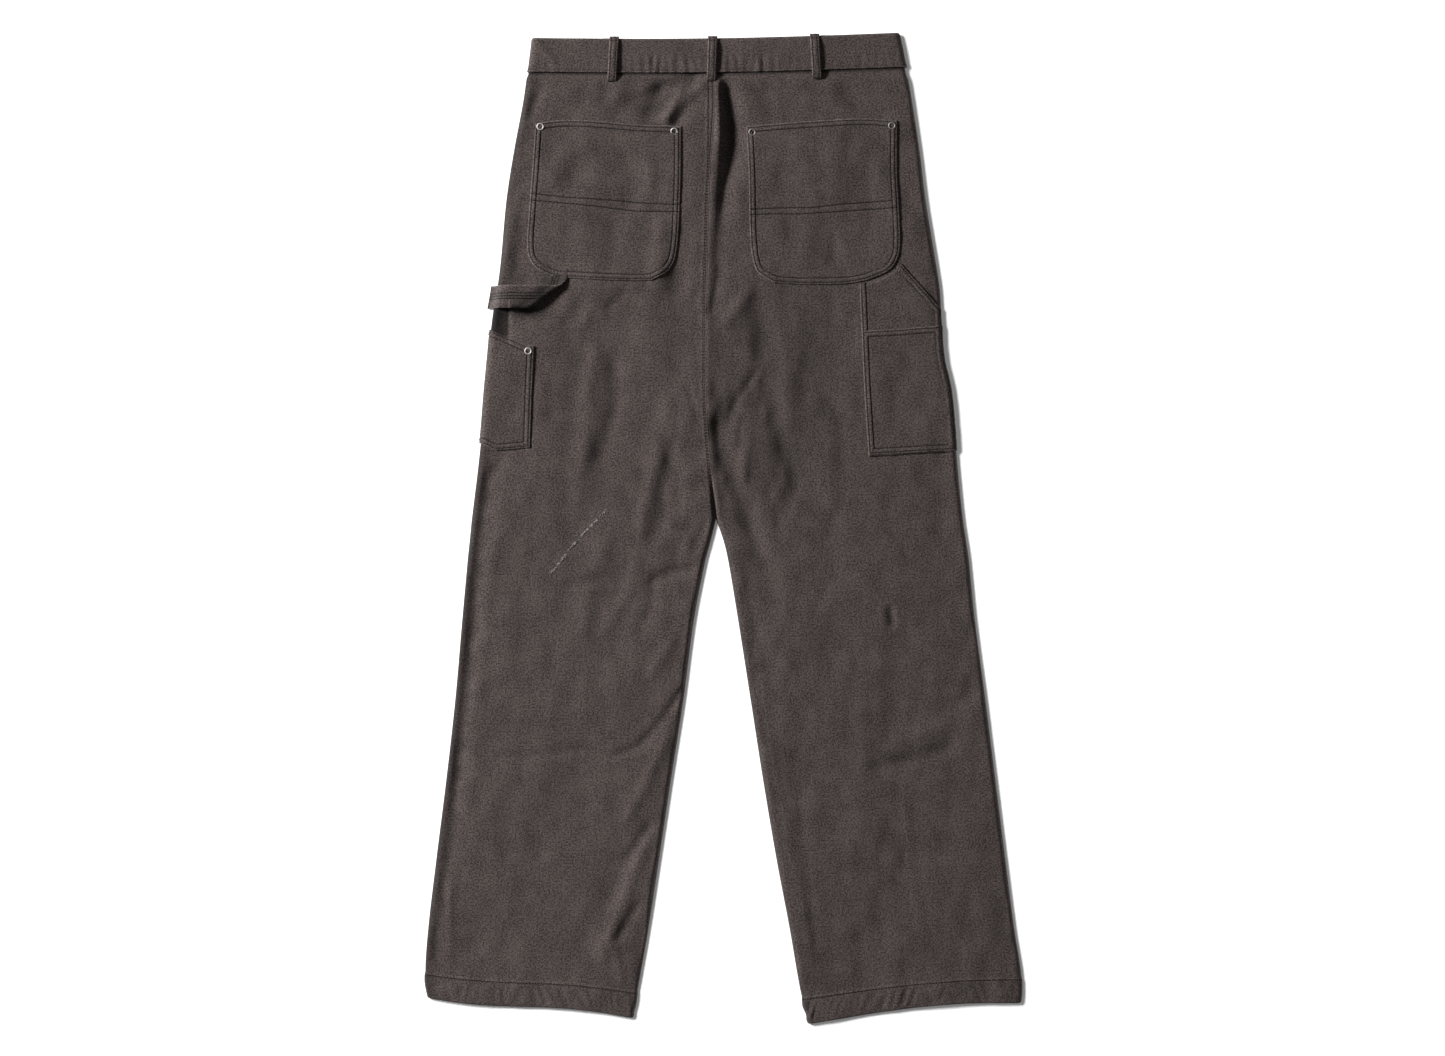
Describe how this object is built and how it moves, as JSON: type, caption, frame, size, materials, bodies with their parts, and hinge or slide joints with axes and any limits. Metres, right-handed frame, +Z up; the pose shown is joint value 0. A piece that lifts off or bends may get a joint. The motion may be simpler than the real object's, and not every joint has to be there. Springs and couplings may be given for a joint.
{
  "type": "work trousers",
  "caption": "Heavy canvas work trousers laid out flat on their front, with patch seat pockets, a hammer loop and tool and rule pockets.",
  "frame": {"origin": "middle of the part's own box in X and Y, at the lowest face that lies on the table", "axes": "+Y along the legs towards the waist, +Z up from the table through the back of the garment, +X towards the wearer's right side"},
  "size_m": [0.6564, 1.0898, 0.0234],
  "materials": {
    "canvas": "matt brushed cotton canvas, washed",
    "rivet_metal": "dull nickel plate"
  },
  "bodies": {
    "root": {"back_left": "canvas", "back_right": "canvas", "front_left": "canvas", "front_right": "canvas", "waistband": "canvas", "belt_loop_back_left": "canvas", "belt_loop_back_centre": "canvas", "belt_loop_back_right": "canvas", "belt_loop_front_left": "canvas", "belt_loop_front_right": "canvas", "seat_pocket_left": "canvas", "seat_pocket_right": "canvas", "tool_pocket_left": "canvas", "hammer_loop": "canvas", "rule_pocket_upper": "canvas", "rule_pocket_lower": "canvas", "rivet_seat_pocket_left_outer": "rivet_metal", "rivet_seat_pocket_left_inner": "rivet_metal", "rivet_seat_pocket_right_inner": "rivet_metal", "rivet_seat_pocket_right_outer": "rivet_metal", "rivet_tool_pocket": "rivet_metal", "waist_button": "rivet_metal", "fly_underlap": "canvas"}
  },
  "joints": []
}
